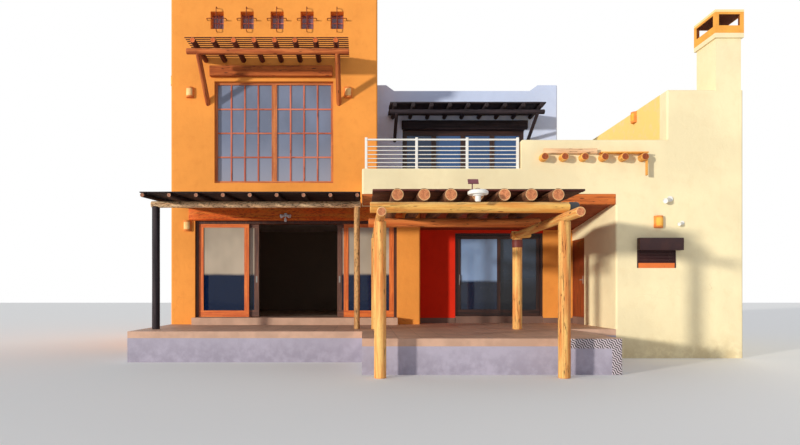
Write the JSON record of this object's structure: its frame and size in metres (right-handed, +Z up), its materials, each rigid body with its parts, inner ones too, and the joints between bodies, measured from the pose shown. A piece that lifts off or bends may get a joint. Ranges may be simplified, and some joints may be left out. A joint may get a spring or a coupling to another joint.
{
  "type": "adobe house",
  "caption": "Adobe-style stucco house: tower, balconied wing over a recessed porch, pole pergolas, sliding and hinged doors.",
  "frame": {"origin": "on the ground below the wing's left end, in the plane of the tower's front face", "axes": "+X to the right along the front, +Y into the house, +Z up"},
  "size_m": [14.5958, 13.447, 10.4],
  "materials": {
    "orange_stucco": "sand-floated stucco",
    "cream_stucco": "sand-floated stucco",
    "white_stucco": "sand-floated stucco",
    "red_stucco": "sand-floated stucco",
    "clay_brick": "fired clay",
    "concrete": "smooth concrete",
    "porch_stone": "honed paving",
    "log_wood": "peeled log, weathered",
    "header_wood": "rough-sawn, stained",
    "dark_wood": "dark-stained log",
    "frame_wood": "oiled hardwood",
    "door_wood": "dark oiled hardwood",
    "pane": "clear glass",
    "wrought_iron": "rusted wrought iron",
    "shutter_metal": "brown enamel",
    "white_paint": "white enamel"
  },
  "bodies": {
    "house": {"tower_front_wall": "orange_stucco", "tower_side_walls": "orange_stucco", "tower_back_wall": "orange_stucco", "door_side_walls": "orange_stucco", "upper_front_wall": "white_stucco", "terrace_side_walls": "cream_stucco", "wing_front_wall": "cream_stucco", "wing_right_wall": "cream_stucco", "wing_back_wall": "cream_stucco", "recess_walls": "red_stucco", "recess_side_wall": "cream_stucco", "door_lintels": "red_stucco", "sill_walls": "orange_stucco", "balcony_parapet": "cream_stucco", "chimney_shaft": "cream_stucco", "chimney_cap": "clay_brick", "ground_floor": "concrete", "first_floor": "concrete", "second_floor": "concrete", "roof_slabs": "concrete", "porch_floor": "porch_stone", "porch_walls": "porch_stone", "porch_beam": "log_wood", "door_header": "header_wood", "upper_header": "dark_wood", "recess_soffit": "log_wood", "large_window": "frame_wood", "small_windows": "frame_wood", "rear_windows": "frame_wood", "window_glass": "pane", "upper_doors": "door_wood", "tower_door_frame": "frame_wood", "recess_door_frame": "frame_wood", "side_door_frame": "door_wood", "window_grilles": "wrought_iron", "window_box": "header_wood", "roller_shutter": "shutter_metal", "tower_awning_frame": "log_wood", "tower_awning_rafters": "log_wood", "tower_awning_slats": "log_wood", "upper_awning_frame": "dark_wood", "upper_awning_rafters": "dark_wood", "upper_awning_boards": "dark_wood", "shade_posts": "dark_wood", "shade_beam": "dark_wood", "shade_rafters": "dark_wood", "shade_roof": "dark_wood", "log_posts": "log_wood", "log_beams": "log_wood", "log_vigas": "log_wood", "log_deck": "log_wood", "wall_vigas": "log_wood", "railing_and_lamps": "white_paint"},
    "left_leaf": {"left_leaf": "frame_wood", "left_leaf_glass": "pane"},
    "right_leaf": {"right_leaf": "frame_wood", "right_leaf_glass": "pane"},
    "recess_leaf": {"recess_leaf": "frame_wood", "recess_leaf_glass": "pane"},
    "side_door": {"side_door": "door_wood"}
  },
  "joints": [
    {"name": "left_leaf_slide", "type": "slide", "parent": "house", "child": "left_leaf", "axis": [1, 0, 0], "range_m": [-0.26, 1.05]},
    {"name": "right_leaf_slide", "type": "slide", "parent": "house", "child": "right_leaf", "axis": [1, 0, 0], "range_m": [-1.136, 0.175]},
    {"name": "recess_leaf_slide", "type": "slide", "parent": "house", "child": "recess_leaf", "axis": [1, 0, 0], "range_m": [0, 1.05]},
    {"name": "side_door_hinge", "type": "hinge", "parent": "house", "child": "side_door", "pos_m": [6.178, 0.637, 0.89], "axis": [0, 0, 1], "range_deg": [0, 90]}
  ]
}
